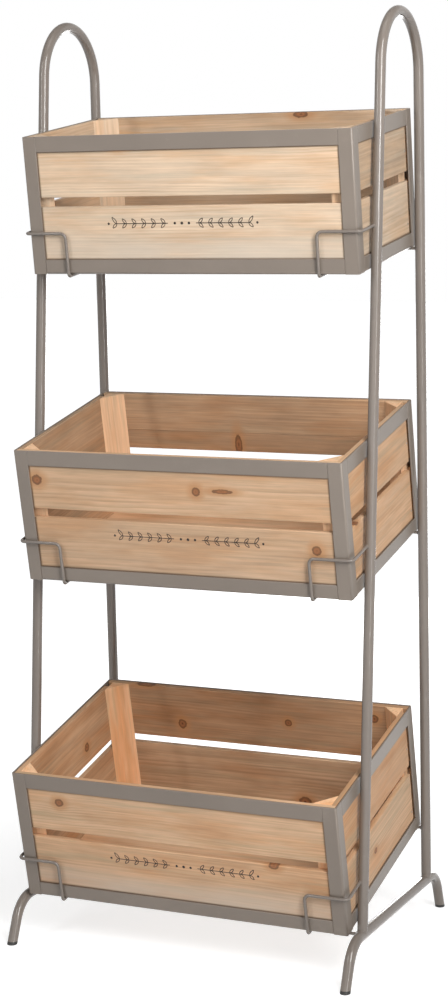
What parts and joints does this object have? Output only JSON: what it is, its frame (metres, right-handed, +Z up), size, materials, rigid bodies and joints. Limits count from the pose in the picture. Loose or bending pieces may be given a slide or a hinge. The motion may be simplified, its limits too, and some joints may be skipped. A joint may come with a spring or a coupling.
{
  "type": "market crate stand",
  "caption": "Free-standing tube stand with arched side frames and bent feet, holding tilted slatted pine crates in angle-iron cages that lift out of wire hooks.",
  "frame": {"origin": "on the floor, at the middle of the space that the whole stand takes up", "axes": "+X to the right seen from the front, +Y to the back, +Z up; the crates tilt towards -Y"},
  "size_m": [0.4584, 0.3772, 1.157],
  "materials": {
    "stand_paint": "satin taupe paint",
    "cage_paint": "satin taupe paint",
    "pine": "sawn and planed pine, unvarnished",
    "cap_plastic": "black moulded plastic",
    "nail_steel": "bright wire nails"
  },
  "bodies": {
    "stand": {"front_rod": "stand_paint", "foot_caps": "cap_plastic", "left_side_frame": "stand_paint", "left_foot_bar": "stand_paint", "right_side_frame": "stand_paint", "right_foot_bar": "stand_paint", "top_rear_rod": "stand_paint", "top_left_hook": "stand_paint", "top_right_hook": "stand_paint", "middle_rear_rod": "stand_paint", "middle_left_hook": "stand_paint", "middle_right_hook": "stand_paint", "bottom_rear_rod": "stand_paint", "bottom_left_hook": "stand_paint", "bottom_right_hook": "stand_paint"},
    "top_crate": {"top_corner_posts": "cage_paint", "top_top_rails": "cage_paint", "top_bottom_rails": "cage_paint", "top_front_lower_board": "pine", "top_front_upper_board": "pine", "top_rear_lower_board": "pine", "top_rear_upper_board": "pine", "top_right_wall_boards": "pine", "top_left_wall_boards": "pine", "top_floor_boards": "pine", "top_corner_blocks": "pine", "top_nails": "nail_steel"},
    "middle_crate": {"middle_corner_posts": "cage_paint", "middle_top_rails": "cage_paint", "middle_bottom_rails": "cage_paint", "middle_front_lower_board": "pine", "middle_front_upper_board": "pine", "middle_rear_lower_board": "pine", "middle_rear_upper_board": "pine", "middle_right_wall_boards": "pine", "middle_left_wall_boards": "pine", "middle_floor_boards": "pine", "middle_corner_blocks": "pine", "middle_nails": "nail_steel"},
    "bottom_crate": {"bottom_corner_posts": "cage_paint", "bottom_top_rails": "cage_paint", "bottom_bottom_rails": "cage_paint", "bottom_front_lower_board": "pine", "bottom_front_upper_board": "pine", "bottom_rear_lower_board": "pine", "bottom_rear_upper_board": "pine", "bottom_right_wall_boards": "pine", "bottom_left_wall_boards": "pine", "bottom_floor_boards": "pine", "bottom_corner_blocks": "pine", "bottom_nails": "nail_steel"}
  },
  "joints": [
    {"name": "top_crate_lift", "type": "slide", "parent": "stand", "child": "top_crate", "axis": [0, -0.165, 0.9863], "range_m": [0, 0.15]},
    {"name": "middle_crate_lift", "type": "slide", "parent": "stand", "child": "middle_crate", "axis": [0, -0.225, 0.9744], "range_m": [0, 0.15]},
    {"name": "bottom_crate_lift", "type": "slide", "parent": "stand", "child": "bottom_crate", "axis": [0, -0.2419, 0.9703], "range_m": [0, 0.15]}
  ]
}
